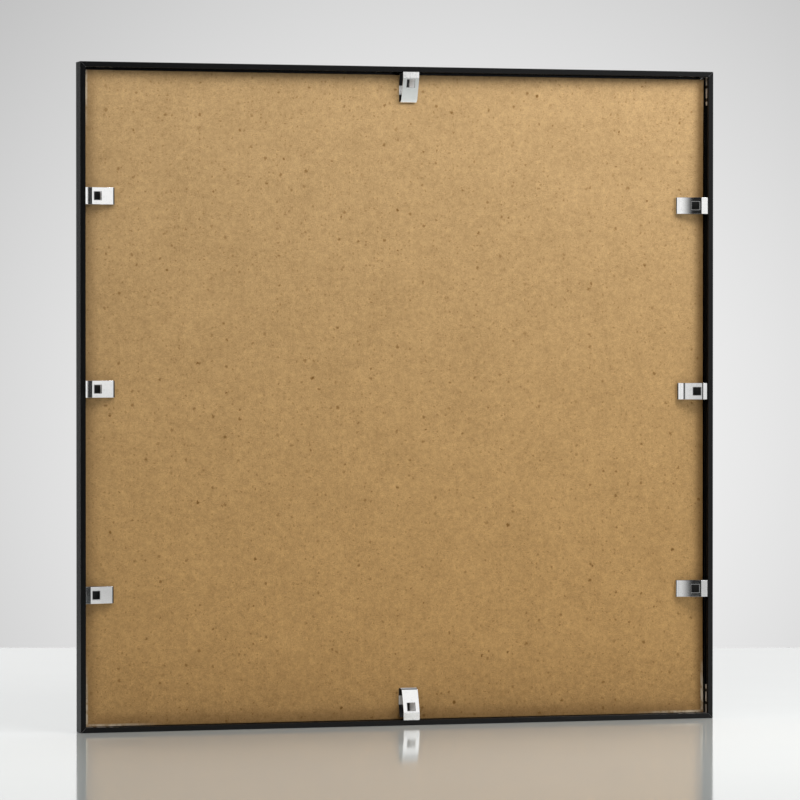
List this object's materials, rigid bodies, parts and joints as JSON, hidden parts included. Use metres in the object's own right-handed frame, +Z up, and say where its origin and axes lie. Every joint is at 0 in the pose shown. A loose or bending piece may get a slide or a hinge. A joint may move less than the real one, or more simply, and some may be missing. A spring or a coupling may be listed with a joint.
{
  "type": "picture frame",
  "caption": "Slim square metal picture frame with mitred rails, a hardboard back held by pull-out spring clips, a blank insert sheet and clear glazing.",
  "frame": {"origin": "middle of the underside of the bottom rail", "axes": "+X to the right as seen from behind, +Y from the back towards the glazed front, +Z up"},
  "size_m": [0.51, 0.016, 0.51],
  "materials": {
    "rail_black": "black, satin",
    "key_zinc": "zinc plated, satin",
    "clip_spring_steel": "bright plated",
    "hardboard": "matt, speckled",
    "insert_paper": "matt",
    "glazing_clear": "clear"
  },
  "bodies": {
    "frame": {"rail_top": "rail_black", "rail_bottom": "rail_black", "rail_left": "rail_black", "rail_right": "rail_black", "corner_key_bottom_left": "key_zinc", "corner_key_bottom_right": "key_zinc", "corner_key_top_right": "key_zinc", "corner_key_top_left": "key_zinc", "glazing": "glazing_clear", "insert_sheet": "insert_paper", "back_board": "hardboard"},
    "left_upper_clip": {"clip_left_upper": "clip_spring_steel"},
    "left_middle_clip": {"clip_left_middle": "clip_spring_steel"},
    "left_lower_clip": {"clip_left_lower": "clip_spring_steel"},
    "right_upper_clip": {"clip_right_upper": "clip_spring_steel"},
    "right_middle_clip": {"clip_right_middle": "clip_spring_steel"},
    "right_lower_clip": {"clip_right_lower": "clip_spring_steel"},
    "top_clip": {"clip_top": "clip_spring_steel"},
    "bottom_clip": {"clip_bottom": "clip_spring_steel"}
  },
  "joints": [
    {"name": "left_upper_clip_slide", "type": "slide", "parent": "frame", "child": "left_upper_clip", "axis": [1, 0, 0], "range_m": [0, 0.008]},
    {"name": "left_middle_clip_slide", "type": "slide", "parent": "frame", "child": "left_middle_clip", "axis": [1, 0, 0], "range_m": [0, 0.008]},
    {"name": "left_lower_clip_slide", "type": "slide", "parent": "frame", "child": "left_lower_clip", "axis": [1, 0, 0], "range_m": [0, 0.008]},
    {"name": "right_upper_clip_slide", "type": "slide", "parent": "frame", "child": "right_upper_clip", "axis": [-1, 0, 0], "range_m": [0, 0.008]},
    {"name": "right_middle_clip_slide", "type": "slide", "parent": "frame", "child": "right_middle_clip", "axis": [-1, 0, 0], "range_m": [0, 0.008]},
    {"name": "right_lower_clip_slide", "type": "slide", "parent": "frame", "child": "right_lower_clip", "axis": [-1, 0, 0], "range_m": [0, 0.008]},
    {"name": "top_clip_slide", "type": "slide", "parent": "frame", "child": "top_clip", "axis": [0, 0, -1], "range_m": [0, 0.008]},
    {"name": "bottom_clip_slide", "type": "slide", "parent": "frame", "child": "bottom_clip", "axis": [0, 0, 1], "range_m": [0, 0.008]}
  ]
}
